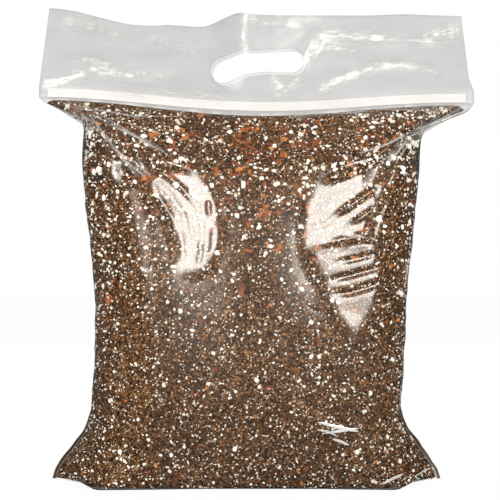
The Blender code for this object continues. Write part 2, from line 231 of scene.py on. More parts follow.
def rings_at(position):
    """Ring values at each position, by a cubic that never overshoots between rings."""
    table = ring_table()
    gaps = table[1:] - table[:-1]
    both = gaps[:-1] * gaps[1:]
    total = gaps[:-1] + gaps[1:]
    safe = np.where(both > 0, total, 1.0)
    slopes = np.zeros_like(table)
    slopes[1:-1] = np.where(both > 0, 2 * both / safe, 0.0)
    low = np.clip(np.floor(position).astype(int), 0, len(table) - 2)
    t = (position - low)[..., None]
    here, ahead = table[low], table[low + 1]
    leave, arrive = slopes[low], slopes[low + 1]
    return ((2 * t**3 - 3 * t**2 + 1) * here + (t**3 - 2 * t**2 + t) * leave
            + (3 * t**2 - 2 * t**3) * ahead + (t**3 - t**2) * arrive)


def pouch_points(across, position, panel, inset=0.0, side_room=0.0):
    """Points of one panel. across is 0 mid panel, 1 at the soft fold and 2 at the side edge."""
    rings = rings_at(position)
    mid_depth, mid_z, fold_x, fold_depth, fold_z, side_x, side_z, roundness, shift, lean = (
        rings[..., k] for k in range(10))
    room = side_room * (2 - roundness)
    mid_depth = np.maximum(mid_depth - inset, 0)
    fold_depth = np.maximum(fold_depth - inset, 0)
    fold_x = fold_x - room
    side_x = side_x - room
    reach = np.abs(across)
    t = np.minimum(reach, 1)
    crown = np.cos(math.pi / 2 * t) ** 2
    x = fold_x * t
    depth = fold_depth + (mid_depth - fold_depth) * crown
    z = fold_z + (mid_z - fold_z) * crown
    past = np.maximum(reach - 1, 0)
    turn = math.pi / 2 * past
    run = (1 - roundness) * past + roundness * np.sin(turn)
    drop = (1 - roundness) * (1 - past) + roundness * np.cos(turn)
    x = x + (side_x - fold_x) * run
    depth = depth * np.where(past > 0, drop, 1)
    droop = smooth_step((position - 9) / 2) * smooth_step((13 - position) / 0.5)
    droop = droop * np.where(across > 0, EAR_DROOP_RIGHT, EAR_DROOP_LEFT)
    z = z + (side_z - fold_z - droop) * past
    for seed, on_side in ((301, across > 0), (401, across < 0)):
        x = x + edge_puckers(z, seed) * past**2 * on_side * (position < 9)
    x = np.sign(across) * x
    z = z - ZIP_LINE_LEAN * lean * x / HALF_WIDTH
    x = x + shift
    near = 1 - smooth_step(z / EAR_TOP)
    rim = smooth_step((depth - 0.62 * BASE_DEPTH / 2) / (0.38 * BASE_DEPTH / 2))
    z = z + BASE_ARCH * rim * np.exp(-((x / (0.36 * WAIST_WIDTH)) ** 2)) * near
    return np.stack([x, panel * depth, z], axis=-1)


def header_lean(x):
    inward = smooth_step((x + HALF_WIDTH) / (0.4 * HALF_WIDTH))
    left = HEADER_LEAN_LEFT_END + (HEADER_LEAN_LEFT - HEADER_LEAN_LEFT_END) * inward
    outward = smooth_step(x / (0.6 * HALF_WIDTH))
    right = HEADER_LEAN_MIDDLE + (HEADER_LEAN_RIGHT - HEADER_LEAN_MIDDLE) * outward
    past = smooth_step((x - HEADER_CREASE_X) / HEADER_CREASE_WIDTH + 0.5)
    return left + (right - left) * past


def header_points(foot, height, panel):
    """Points of the flat header above the feet of the zip line."""
    above = np.maximum(height - ZIP_BAND_HEIGHT, 0)
    rim = np.interp(foot[..., 0], np.array(RIM_X) * MM, np.array(RIM_DROP) * MM)
    above = above * (1 - rim / (HEADER_HEIGHT - ZIP_BAND_HEIGHT))
    lean = header_lean(foot[..., 0]) * smooth_step(0.3 + above / HEADER_BEND_HEIGHT)
    x = foot[..., 0] * (1 - HEADER_NARROWING / FLAT_WIDTH * above / HEADER_HEIGHT)
    step = HEADER_RIGHT_STEP * smooth_step(above / HEADER_STEP_HEIGHT)
    x = x - step * smooth_step(x / HALF_WIDTH)
    thin = smooth_step(above / (0.3 * HEADER_HEIGHT))
    half_space = ZIP_HALF_SPACE + (HEADER_HALF_SPACE - ZIP_HALF_SPACE) * thin
    edge = (np.abs(foot[..., 0]) - HEADER_FOLD_X) / (HALF_WIDTH - HEADER_FOLD_X)
    depth = half_space * np.sqrt(1 - np.clip(edge, 0, 1) ** 2)
    y = above * np.sin(lean) + panel * depth
    z = foot[..., 2] + np.minimum(height, ZIP_BAND_HEIGHT) + above * np.cos(lean)
    return np.stack([x, y, z], axis=-1)


def row_places():
    """Ring positions of the pouch rows."""
    places = [0.0]
    for ring, rows in enumerate(ROWS_BETWEEN_RINGS):
        places += [ring + (step + 1) / rows for step in range(rows)]
    return np.array(places)


class Panel:
    """One panel of the film: its smooth points by row and column, and where each lies."""

    def __init__(self, columns, side):
        self.side = side
        across = np.linspace(-2, 2, columns + 1)
        places = row_places()
        grid_across, grid_place = np.meshgrid(across, places)
        pouch = pouch_points(grid_across, grid_place, side)
        heights = HEADER_HEIGHT * np.arange(1, HEADER_ROWS + 1) / HEADER_ROWS
        feet = np.broadcast_to(pouch[-1], (HEADER_ROWS,) + pouch[-1].shape)
        header = header_points(feet, heights[:, None], side)
        self.smooth = np.concatenate([pouch, header])
        shape = self.smooth.shape[:2]
        all_heights = np.concatenate([np.zeros(len(places)), heights])
        all_places = np.concatenate([places, np.full(HEADER_ROWS, float(LAST_RING))])
        self.height = np.broadcast_to(all_heights[:, None], shape)
        self.place = np.broadcast_to(all_places[:, None], shape)
        self.across = np.broadcast_to(across, shape)
        self.zip_z = np.broadcast_to(pouch[-1][:, 2], shape)
        self.normal = grid_normals(self.smooth, side)
        pouch_relief = film_relief(self)
        header_lift = header_relief(self)
        self.points = self.smooth + self.normal * pouch_relief[..., None]
        self.points[..., 1] -= header_lift


def grid_normals(points, panel):
    """Outward directions of a grid of points."""
    along = np.gradient(points, axis=1)
    up = np.gradient(points, axis=0)
    normal = np.cross(along, up) * -panel
    length = np.linalg.norm(normal, axis=-1, keepdims=True)
    return normal / np.maximum(length, 1e-12)


# Folds in the film

# Each fold: height and width in millimetres, then the line it follows as (x, z) in millimetres.
# A fold of negative height is pushed in.
FRONT_FOLDS = (
    # Lines that run in from the zip's left end.
    (2.2, 5.0, ((-150, 299), (-136, 295), (-114, 271), (-101, 255), (-82, 243))),
    (1.5, 4.0, ((-138, 298), (-115, 286), (-95, 271), (-76, 265))),
    (-1.3, 3.2, ((-130, 290), (-108, 275), (-92, 259), (-83, 246))),
    (1.0, 3.0, ((-121, 288), (-104, 281), (-91, 275))),
    (0.8, 2.5, ((-117, 291), (-97, 283), (-76, 270))),
    (-0.8, 2.4, ((-126, 284), (-110, 266), (-100, 250))),
    # Lines that run in from the zip's right end.
    (2.2, 5.0, ((162, 294), (151, 288), (118, 272), (111, 265))),
    (-1.4, 3.4, ((140, 286), (118, 278), (104, 267))),
    (1.2, 3.0, ((128, 279), (116, 268), (110, 262))),
    (0.8, 2.6, ((120, 288), (100, 276), (84, 268))),
    # Single folds lower down.
    (0.9, 3.0, ((52, 52), (64, 46), (80, 41))),
    (0.9, 3.0, ((98, 12), (112, 9), (124, 6))),
    (-0.7, 3.0, ((-70, 60), (-40, 52), (-12, 50))),
    (0.8, 4.0, ((96, 130), (104, 104), (106, 78))),
)

# Rounded furrows and streaks in the stretched film, as for FRONT_FOLDS.
FRONT_STREAKS = (
    # On the left they spread from the crease's end.
    (-0.75, 2.2, ((-80, 252), (-66, 242), (-56, 233), (-48, 222))),
    (-0.70, 2.2, ((-90, 240), (-78, 229), (-70, 219), (-63, 208))),
    (-0.45, 1.9, ((-37.5, 226), (-36.5, 211))),
    (0.30, 3.0, ((-82, 243), (-68, 231), (-57, 217), (-51, 200))),
    (-0.16, 2.4, ((-66, 232), (-54, 216), (-49, 198), (-48, 182))),
    (-0.14, 2.4, ((-56, 236), (-46, 222), (-42, 206), (-41, 186))),
    (-0.20, 2.6, ((-60, 204), (-57, 190), (-58, 174))),
    (-0.30, 2.4, ((-44, 196), (-43, 184), (-46, 172))),
    (-0.30, 2.2, ((-33, 206), (-34, 190), (-39, 178))),
    # On the right, dark furrows between the bright fingers.
    (-1.3, 2.3, ((96, 236), (80, 227), (67, 218), (58, 212))),
    (-1.0, 2.1, ((95, 221), (84, 214), (71, 207))),
    (-1.3, 2.3, ((98, 194), (82, 196), (66, 195), (50, 191))),
    (-0.8, 2.1, ((92, 184), (76, 180), (60, 177))),
    (-1.0, 2.2, ((97, 174), (82, 170), (66, 166), (52, 162))),
    (-1.3, 2.6, ((102, 164), (86, 158), (70, 154), (54, 153))),
    (0.12, 3.0, ((44, 222), (60, 229), (78, 241), (96, 252))),
    (-0.16, 2.4, ((38, 214), (52, 222), (70, 235), (88, 244))),
    (-0.25, 2.6, ((38, 204), (50, 206), (62, 211))),
    (-0.25, 2.6, ((46, 184), (58, 186), (74, 189))),
)

# Flat facets of stretched film: which way each faces, in degrees to the right and upwards,
# the place that keeps its height, the soft edge's width and the outline, in millimetres.
# A later facet lies over the earlier ones.
LEFT_FACET = (-9.0, 8.0, (-48, 212), 12.0, (
    (-87, 245), (-70, 256), (-50, 249), (-31, 235), (-25, 220), (-26, 194), (-34, 171),
    (-50, 165), (-62, 170), (-65, 190), (-71, 208), (-79, 223), (-90, 238)))
RIGHT_FACET = (10.0, 7.5, (46, 212), 14.0, (
    (34, 225), (48, 240), (97, 262), (110, 258), (99, 237), (102, 224), (93, 206),
    (88, 196), (52, 187), (34, 184)))
FACETS = (
    (8.0, 5.0, (62, 162), 16.0, (
        (38, 192), (96, 198), (95, 184), (101, 166), (94, 136), (78, 128), (62, 134),
        (50, 155), (38, 176))),
    LEFT_FACET,
    RIGHT_FACET,
)

# How far the header's top edge lies below its flat height, by x, both in millimetres.
RIM_X = (-168, -151, -141, -122, -103, -88, -74, -55, -36, -16, -7, 11, 67, 99, 128, 147, 165)
RIM_DROP = (3.2, 4.0, 4.8, 5.8, 7.0, 6.0, 3.4, 3.0, 1.6, 0.2, 1.6, 2.4, 2.4, 3.2, 4.0, 5.6, 6.4)

HEADER_FOLDS = (
    (2.6, 6.0, ((-14, 382), (-13, 364), (-12, 346))),
    (-1.6, 4.0, ((-22, 380), (-20, 364), (-24, 352))),
    (1.8, 3.2, ((36, 338), (44, 354), (52, 368))),
    (-1.6, 3.0, ((44, 336), (52, 350), (60, 362))),
    (2.0, 3.6, ((50, 361), (82, 358), (115, 356), (163, 355))),
    (-1.6, 3.2, ((54, 353), (82, 352), (115, 350), (160, 349))),
    (1.6, 3.4, ((50, 316), (62, 324), (83, 331), (115, 337), (144, 331))),
    (1.4, 3.0, ((140, 372), (152, 366), (160, 356))),
    (1.2, 3.0, ((14, 312), (24, 318), (31, 326))),
    (1.0, 2.4, ((16, 324), (28, 316), (36, 310))),
    (1.8, 5.0, ((-172, 320), (-158, 324), (-143, 328))),
    (1.6, 4.0, ((-148, 340), (-135, 337), (-122, 335))),
    (1.6, 4.0, ((-124, 331), (-112, 328), (-100, 325))),
    (1.2, 4.0, ((-96, 328), (-84, 327))),
    (-1.2, 6.0, ((-150, 362), (-110, 350), (-60, 348))),
    (1.4, 6.0, ((-120, 372), (-80, 362), (-44, 346))),
)


def line_field(x, z, line):
    """Distance to a broken line, and how far along it the nearest place is, from 0 to 1."""
    nearest = np.full(x.shape, np.inf)
    share = np.zeros(x.shape)
    line = np.asarray(line, dtype=float) * MM
    steps = np.linalg.norm(line[1:] - line[:-1], axis=1)
    done = np.concatenate([[0], np.cumsum(steps)])
    for k, step in enumerate(steps):
        way = (line[k + 1] - line[k]) / step
        along = np.clip((x - line[k, 0]) * way[0] + (z - line[k, 1]) * way[1], 0, step)
        gap = np.hypot(x - line[k, 0] - along * way[0], z - line[k, 1] - along * way[1])
        closer = gap < nearest
        nearest = np.where(closer, gap, nearest)
        share = np.where(closer, (done[k] + along) / done[-1], share)
    return nearest, share


def fold_relief(x, z, folds, rounded=False):
    """Height of the folds at each place, with a sharp or a rounded crest."""
    relief = np.zeros(x.shape)
    for height, width, line in folds:
        ends = np.asarray(line) * MM
        reach = 5 * width * MM
        near = ((x > ends[:, 0].min() - reach) & (x < ends[:, 0].max() + reach)
                & (z > ends[:, 1].min() - reach) & (z < ends[:, 1].max() + reach))
        gap, share = line_field(x[near], z[near], line)
        taper = smooth_step(share / 0.18) * smooth_step((1 - share) / 0.4)
        taper = 0.12 + 0.88 * taper
        if rounded:
            crest = np.exp(-((gap / (width * MM)) ** 2))
        else:
            crest = np.exp(-np.sqrt(gap**2 + (0.4 * MM) ** 2) / (width * MM))
        relief[near] += height * MM * taper * crest
    return relief


def random_folds(seed, count, low, high, left, right, length, height):
    """Small folds at repeatable random places, as for FRONT_FOLDS."""
    dice = np.random.default_rng(seed)
    folds = []
    for _ in range(count):
        x, z = dice.uniform(left, right), dice.uniform(low, high)
        turn = dice.normal(0, 0.9) + (0.5 if x < 0 else -0.5)
        half = 0.5 * length * dice.uniform(0.5, 1.6)
        bow = dice.normal(0, 0.18) * half
        way = np.array([math.cos(turn), math.sin(turn)])
        side = np.array([-way[1], way[0]])
        centre = np.array([x, z])
        line = (centre - way * half, centre + side * bow, centre + way * half)
        tall = height * dice.uniform(0.4, 1.3) * dice.choice([-1, 1])
        folds.append((tall, dice.uniform(1.3, 3.4), tuple(map(tuple, line))))
    return folds


def inside_outline(x, z, outline):
    """True where a place lies inside a closed outline."""
    inside = np.zeros(x.shape, dtype=bool)
    line = np.asarray(outline) * MM
    for (ax, az), (bx, bz) in zip(line, np.roll(line, -1, axis=0)):
        if az == bz:
            continue
        crosses = (az > z) != (bz > z)
        inside ^= crosses & (x < ax + (z - az) / (bz - az) * (bx - ax))
    return inside


def facing(turn, lift):
    """The direction of a facet on the front, from its turn to the right and upwards."""
    turn, lift = math.radians(turn), math.radians(lift)
    return np.array([math.sin(turn) * math.cos(lift), -math.cos(turn) * math.cos(lift),
                     math.sin(lift)])


def facet_relief(film, facets):
    """Height of the flat facets over the smooth film, and how much of one each place is."""
    x, z = film.smooth[..., 0], film.smooth[..., 2]
    relief, share = np.zeros(x.shape), np.zeros(x.shape)
    for turn, lift, (middle_x, middle_z), edge, outline in facets:
        gap, _ = line_field(x, z, outline + outline[:1])
        signed = np.where(inside_outline(x, z, outline), gap, -gap)
        mask = smooth_step(signed / (edge * MM) + 0.35)
        middle = np.argmin(np.hypot(x - middle_x * MM, z - middle_z * MM))
        way = facing(turn, lift)
        level = (film.smooth.reshape(-1, 3)[middle] - film.smooth) @ way
        relief += mask * (level / np.maximum(film.normal @ way, 0.5) - relief)
        share = np.maximum(share, mask)
    return relief, share


def gusset_relief(across, place):
    """The crease from each zip end down to the shoulder, and the valley behind it."""
    reach = np.abs(across)
    span = smooth_step((place - 7.7) / 1.0) * smooth_step((13.0 - place) / 0.9)
    crest = 2.6 * MM * np.exp(-np.abs(reach - 1.0) / 0.045)
    valley = -3.4 * MM * np.exp(-(((reach - 1.17) / 0.11) ** 2))
    swell = 2.4 * MM * np.exp(-(((reach - 1.55) / 0.20) ** 2))
    return span * (crest + valley + swell)


def edge_puckers(z, side_seed):
    """Small notches and swellings down the side edges."""
    places = plane_points(np.zeros_like(z), z)
    ripple = 0.9 * MM * noise(places, 0.017, side_seed) + 0.5 * MM * noise(
        places, 0.007, side_seed + 1)
    return ripple * smooth_step(z / 0.010) * smooth_step((0.262 - z) / 0.03)


def film_relief(film):
    """How far the pouch's film stands out from its smooth form."""
    x, z = film.smooth[..., 0], film.smooth[..., 2]
    seed = 5 if film.side == FRONT else 47
    places = plane_points(x, z)
    waves = 0.45 * MM * noise(places, 0.060, seed) + 0.14 * MM * noise(places, 0.021, seed + 1)
    ridged = 1 - 2 * np.abs(noise(places * np.array([1, 1, 0.55]), 0.013, seed + 2))
    relief = waves + 0.05 * MM * ridged
    small = random_folds(seed + 7, 60, 8, 250, -125, 118, 15, 0.20)
    tense = random_folds(seed + 9, 60, 245, 300, -140, 140, 17, 0.5)
    relief += fold_relief(x, z, small + tense)
    relief += gusset_relief(film.across, film.place)
    if film.side == FRONT:
        facets, share = facet_relief(film, FACETS)
        relief = relief * (1 - 0.9 * share) + facets
        relief += fold_relief(x, z, FRONT_FOLDS) + fold_relief(x, z, FRONT_STREAKS, True)
    else:
        mirrored = tuple((tall, wide, tuple((6 - px, pz) for px, pz in line))
                         for tall, wide, line in FRONT_FOLDS[:10])
        relief += 0.9 * fold_relief(x, z, mirrored)
    reach = np.abs(film.across)
    calm = smooth_step(z / 0.012) * smooth_step((2.0 - reach) / 0.28)
    calm = calm * (0.12 + 0.88 * smooth_step((film.zip_z - z) / 0.016))
    return np.where(film.height > 0, 0.0, relief * calm)


def header_relief(film):
    """Waves and folds that both header layers share."""
    x, z = film.smooth[..., 0], film.smooth[..., 2]
    places = plane_points(x, z)
    above = np.maximum(film.height - ZIP_BAND_HEIGHT, 0)
    relief = 1.0 * MM * noise(places, 0.06, 71) + 0.35 * MM * noise(places, 0.024, 72)
    relief += 0.12 * MM * (1 - 2 * np.abs(noise(places, 0.010, 73)))
    relief += fold_relief(x, z, HEADER_FOLDS)
    relief += fold_relief(x, z, random_folds(81, 70, 312, 384, -172, 172, 14, 0.4))
    free = smooth_step(above / 0.014)
    ends = 0.35 + 0.65 * smooth_step((2.0 - np.abs(film.across)) / 0.15)
    return np.where(film.height > 0, relief * free * ends, 0.0)


# Meshes

def make_piece(name, points, faces, material, smooth=True, marks=None):
    """A mesh object that rides on the bag's body."""
    mesh = bpy.data.meshes.new(name)
    mesh.from_pydata(np.asarray(points).tolist(), [], faces)
    for mark, colours in (marks or {}).items():
        layer = mesh.attributes.new(mark, "FLOAT_COLOR", "POINT")
        layer.data.foreach_set("color", np.asarray(colours, dtype=np.float32).ravel())
    mesh.polygons.foreach_set("use_smooth", [smooth] * len(mesh.polygons))
    mesh.update()
    mesh.materials.append(material)
    piece = bpy.data.objects.new(name, mesh)
    bpy.context.scene.collection.objects.link(piece)
    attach(piece, "root")
    return piece


def grid_faces(rows, columns, flip):
    """Quads between a grid's points, as a list of corner numbers."""
    low = np.arange(rows)[:, None] * (columns + 1) + np.arange(columns)[None, :]
    quads = np.stack([low, low + 1, low + columns + 2, low + columns + 1], axis=-1)
    quads = quads.reshape(-1, 4)
    return quads[:, ::-1] if flip else quads


# The hand hole's middle line with its half height at each place, in millimetres.
HOLE_LINE = ((-26.8, 331.2, 10.4), (-11.6, 337.2, 9.6), (5.2, 338.4, 8.6), (27.6, 338.8, 9.8))


def hole_distance(x, z, shift_x, shift_z):
    """Distance outside the hand hole's edge, negative inside it."""
    nearest = np.full(x.shape, np.inf)
    line = np.asarray(HOLE_LINE) * MM
    for start, end in zip(line[:-1], line[1:]):
        way = end[:2] - start[:2]
        dx, dz = x - shift_x - start[0], z - shift_z - start[1]
        t = np.clip((dx * way[0] + dz * way[1]) / way.dot(way), 0, 1)
        gap = np.hypot(dx - t * way[0], dz - t * way[1]) - (start[2] + (end[2] - start[2]) * t)
        nearest = np.minimum(nearest, gap)
    return nearest


def cut_along(values, faces, outside):
    """Drops what lies inside and trims the faces that cross the edge.

    values holds one row of numbers per point, which new corners blend between."""
    added, corners = [], {}

    def crossing(a, b):
        key = (min(a, b), max(a, b))
        if key not in corners:
            share = outside[a] / (outside[a] - outside[b])
            corners[key] = len(values) + len(added)
            added.append(values[a] + (values[b] - values[a]) * share)
        return corners[key]

    signs = outside[faces] > 0
    kept = faces[signs.all(axis=1)].tolist()
    for face in faces[signs.any(axis=1) & ~signs.all(axis=1)]:
        ring = []
        for a, b in zip(face, np.roll(face, -1)):
            if outside[a] > 0:
                ring.append(int(a))
            if (outside[a] > 0) != (outside[b] > 0):
                ring.append(crossing(int(a), int(b)))
        if len(ring) > 2:
            kept.append(ring)
    return np.concatenate([values, np.array(added)]), kept


# Painted highlights along the header's creases, then where the film lies double: strength, half
# width and line, in millimetres.
PAINTED_HIGHLIGHT_LINES = (
    (0.95, 4.0, ((38, 338), (44, 346), (52, 361))),
    (0.75, 3.4, ((42, 342), (56, 354), (70, 366))),
    (0.80, 4.6, ((48, 362), (80, 359), (110, 357))),
    (0.55, 2.4, ((100, 357), (125, 356), (150, 356))),
    (0.80, 6.5, ((132, 358), (150, 362), (166, 366))),
    (0.70, 3.6, ((40, 344), (60, 350), (82, 347))),
    (0.80, 3.6, ((48, 313), (64, 323), (84, 331))),
    (0.80, 5.0, ((70, 326), (96, 334), (120, 337))),
    (0.50, 3.4, ((110, 337), (130, 334), (148, 328))),
    (0.70, 3.6, ((10, 328), (18, 318), (30, 309))),
    (0.55, 3.0, ((14, 308), (26, 318), (36, 326))),
    (0.65, 1.4, ((-13, 376), (-12, 362), (-12, 348))),
    (0.60, 3.0, ((-14, 372), (-4, 374), (0, 368))),
    (0.35, 2.4, ((0, 368), (18, 369), (36, 366))),
    (0.90, 5.5, ((-172, 319), (-156, 322), (-136, 329))),
    (0.70, 4.0, ((-150, 341), (-134, 340), (-116, 335))),
    (0.90, 4.2, ((-136, 333), (-116, 330), (-96, 326))),
    (0.60, 3.2, ((-100, 330), (-86, 329), (-68, 325))),
    (0.45, 6.0, ((-160, 374), (-130, 368), (-108, 361))),
    (0.35, 6.0, ((-110, 316), (-60, 312), (-20, 309))),
    (0.30, 7.0, ((-96, 362), (-66, 352), (-44, 350))),
)
DOUBLE_LINES = (
    (0.85, 5.0, ((172, 300), (150, 291), (130, 281), (118, 273))),
    (0.95, 2.8, ((126, 279), (112, 268), (100, 256))),
    (0.80, 1.6, ((118, 272), (108, 263), (101, 253))),
    (0.80, 1.9, ((90, 300), (120, 301), (150, 297))),
    (0.60, 1.6, ((70, 296), (110, 294), (140, 291))),
    (0.60, 1.6, ((20, 293), (60, 295), (100, 299))),
    (0.75, 4.5, ((-165, 300), (-148, 295), (-134, 290))),
    (1.00, 2.2, ((-142, 298), (-114, 271), (-101, 254), (-82, 242))),
    (0.90, 1.5, ((-130, 292), (-112, 268), (-98, 252), (-90, 240))),
    (0.80, 1.7, ((-134, 296), (-112, 285), (-88, 272), (-76, 264))),
    (0.70, 1.3, ((-125, 289), (-104, 281), (-80, 270), (-66, 258))),
    (0.90, 1.4, ((-94, 259), (-88, 252), (-82, 242))),
    (0.60, 1.8, ((-150, 301), (-120, 297), (-84, 291))),
    (0.30, 1.6, ((-112, 180), (-114, 150), (-111, 120))),
    (0.35, 1.4, ((-118, 178), (-96, 172), (-72, 170))),
)


def haze_and_highlight_lines(x, z, lines, seed):
    """Streaky bands that follow lines, from 0 to 1."""
    haze_and_highlight = np.zeros(x.shape)
    for number, (strength, width, line) in enumerate(lines):
        gap, share = line_field(x, z, line)
        along = plane_points(share, gap)
        streaks = 0.62 + 0.75 * noise(along * np.array([9, 1, 700]), 1.0, seed + number)
        broad = width * MM * (0.8 + 0.5 * noise(along * np.array([4, 1, 0]), 1.0, seed - number))
        ends = smooth_step(share / 0.12) * smooth_step((1 - share) / 0.15)
        ends = 0.25 + 0.75 * ends
        haze_and_highlight = np.maximum(haze_and_highlight, strength * ends * streaks * np.exp(-((gap / broad) ** 2)))
    return np.clip(haze_and_highlight, 0, 1)


def film_marks(film, outside):
    """Header, painted shade at the side edges and foot, rim, empty band, then painted highlights,
    doubled and matt film, from 0 to 1.
    """
    x, z = film.points[..., 0], film.points[..., 2]
    in_header = film.height > 0
    header = smooth_step(film.height / (0.5 * ZIP_BAND_HEIGHT) + 0.5 * in_header)
    wander = 0.003 * noise(plane_points(x, z * 0), 0.012, 91)
    empty = smooth_step((EMPTY_BAND_HEIGHT + wander - (film.zip_z - z)) / 0.005) * ~in_header
    # Painted shade: a dark strip down the side edges and along the foot of the film.
    side = smooth_step((np.abs(film.across) - SHADED_EDGE_ACROSS) / SHADED_EDGE_BLEND)
    side = np.maximum(side, 1 - smooth_step((z - 1.0 * MM) / (2.2 * MM))) * ~in_header
    rim = np.exp(-np.maximum(outside, 0) / (0.9 * MM))
    rim = rim + np.exp(-(HEADER_HEIGHT - film.height) / (0.8 * MM)) * in_header
    # Painted highlights: white streaks along the header's creases.
    white = haze_and_highlight_lines(x, z, PAINTED_HIGHLIGHT_LINES, 120) * in_header
    double = haze_and_highlight_lines(x, z, DOUBLE_LINES, 160) * ~in_header
    if film.side == BACK:
        double = double * 0.6
    dusty = smooth_step((DUST_LEFT_X - x) / DUST_BLEND)
    dusty = dusty + smooth_step((x - DUST_RIGHT_X) / DUST_BLEND)
    dusty = dusty * smooth_step((DUST_TOP_Z - z) / 0.008)
    return np.stack([header, side, np.clip(rim, 0, 1), empty, np.clip(white, 0, 1),
                     np.clip(double, 0, 1), dusty, np.zeros_like(white)], axis=-1)


def make_film(name, film, material, hole_shift):
    """One panel of the film, with its hand hole."""
    points = film.points
    rows, columns = points.shape[0] - 1, points.shape[1] - 1
    outside = hole_distance(points[..., 0], points[..., 2], *hole_shift)
    values = np.concatenate([points, film_marks(film, outside)], axis=-1).reshape(-1, 11)
    faces = grid_faces(rows, columns, film.side == BACK)
    values, faces = cut_along(values, faces, outside.ravel())
    used = np.unique(np.concatenate([np.ravel(face) for face in faces]))
    renumber = np.zeros(len(values), dtype=int)
    renumber[used] = np.arange(len(used))
    faces = [[int(renumber[corner]) for corner in face] for face in faces]
    values = values[used]
    made = make_piece(name, values[:, :3], faces, material, True,
                      {"film_marks": values[:, 3:7], "film_haze_and_highlights": values[:, 7:11]})
    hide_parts("film_bag")


# Narrow pleats where the film is gathered: width and line in millimetres.
PLEATS = (
    (1.5, ((-129, 285), (-105, 261), (-94, 255), (-82, 244))),
    (1.3, ((-132, 294), (-120, 278), (-102, 256), (-83, 241))),
    (1.0, ((-131, 298), (-105, 283), (-80, 267))),
    (0.9, ((-114, 285), (-92, 274), (-72, 263))),
    (1.0, ((-131, 299), (-98, 293), (-62, 293))),
    (0.8, ((-110, 290), (-86, 281), (-66, 276))),
    (2.8, ((152, 294), (136, 286), (118, 278), (103, 270), (80, 262))),
    (1.4, ((148, 291), (134, 283), (118, 275), (108, 268))),
    (1.6, ((118, 273), (109, 262), (102, 254))),
    (1.0, ((122, 273), (113, 262), (108, 254))),
    (1.6, ((139, 297), (150, 295), (160, 292))),
    (1.1, ((95, 299), (130, 298), (145, 294))),
    (0.8, ((40, 296), (70, 296), (96, 298))),
)
# Pleats with a painted highlight along them, as for PLEATS.
GLINT_PLEATS = (
    (2.6, ((47, 55), (62, 51), (78, 47.5))),
    (2.2, ((52, 46.5), (64, 48), (78, 50))),
    (2.2, ((58, 42), (64, 40), (71, 37))),
    (1.4, ((46, 49), (54, 48), (62, 44))),
    (2.4, ((97, 6), (105, 9.5), (114, 12.5))),
    (1.4, ((124, 9), (132, 12), (139, 13.5))),
)


def make_pleats(film, material):
    """Raised pleats that lie on the front film, as three rows of points along each line."""
    points, faces, haze_and_highlight = [], [], []
    places, normals = film.points.reshape(-1, 3), grid_normals(film.points, FRONT).reshape(-1, 3)
    for number, (width, line) in enumerate(PLEATS + GLINT_PLEATS):
        corners = np.asarray(line, dtype=float) * MM
        done = np.concatenate([[0], np.cumsum(np.linalg.norm(np.diff(corners, axis=0), axis=1))])
        steps = np.linspace(0, done[-1], int(done[-1] / PLEAT_STEP))
        x, z = np.interp(steps, done, corners[:, 0]), np.interp(steps, done, corners[:, 1])
        gaps = np.hypot(places[None, :, 0] - x[:, None], places[None, :, 2] - z[:, None])
        on_film = gaps.min(axis=1) < PLEAT_REACH
        x, z, steps, gaps = x[on_film], z[on_film], steps[on_film], gaps[on_film]
        near = np.argmin(gaps, axis=1)
        normal = normals[near]
        drop = (x - places[near, 0]) * normal[:, 0] + (z - places[near, 2]) * normal[:, 2]
        spine = np.stack([x, places[near, 1] - drop / normal[:, 1], z], axis=1)
        side = np.cross(normal, np.gradient(spine, axis=0))
        side /= np.linalg.norm(side, axis=1, keepdims=True)
        share = (steps - steps[0]) / (steps[-1] - steps[0])
        half = 0.5 * width * MM * (0.2 + 0.8 * np.sin(math.pi * share) ** 0.5)
        foot, rise = normal * PLEAT_LIFT, normal * (PLEAT_LIFT + 0.35 * half[:, None])
        start = sum(len(rows) for rows in points)
        points.append(np.stack([spine - side * half[:, None] + foot, spine + rise,
                                spine + side * half[:, None] + foot], axis=1).reshape(-1, 3))
        faces += (grid_faces(len(steps) - 1, 2, False) + start).tolist()
        # The last pleats also carry a painted highlight.
        white = GLINT_WHITENESS * (number >= len(PLEATS))
        haze_and_highlight.append(np.tile((white, 0.8, 0, 0), (len(points[-1]), 1)))
    points, haze_and_highlight = np.concatenate(points), np.concatenate(haze_and_highlight)
    made = make_piece("film_pleats", points, faces, material, True,
                      {"film_marks": np.zeros_like(haze_and_highlight), "film_haze_and_highlights": haze_and_highlight})


def fill_grid(panel):
    """The compost's surface under one panel, and the film's own place over each point."""
    across, share = np.meshgrid(np.linspace(-2, 2, FILL_COLUMNS + 1),
                                np.linspace(0, 1, FILL_ROWS + 1))
    place = FILL_TOP_PLACE * share
    right_ear = smooth_step((place - 10.2) / 1.2) * (across > 0)
    right_foot = smooth_step((3.6 - place) / 2.0) * (across > 0)
    squeeze = 1 - (0.13 * right_ear + 0.04 * right_foot) * smooth_step(np.abs(across) - 1)
    edge = np.sqrt(1 - (np.abs(across) / 2) ** 12)
    surface = pouch_points(across * squeeze, place, panel, FILL_INSET, 0.5 * FILL_SIDE_CLEARANCE)
    surface[..., 1] *= edge
    surface[..., 2] += FILL_FOOT_LIFT * (1 - smooth_step(surface[..., 2] / EAR_TOP))
    return surface, grid_normals(surface, panel), across, place


class FillPanel:
    """The compost's smooth surface under one panel, described as Panel describes the film."""

    def __init__(self, side):
        self.side = side
        self.smooth, self.normal, self.across, self.place = fill_grid(side)
        self.height = np.zeros(self.across.shape)
        self.zip_z = pouch_points(self.across, np.full(self.across.shape, float(LAST_RING)),
                                  side)[..., 2]


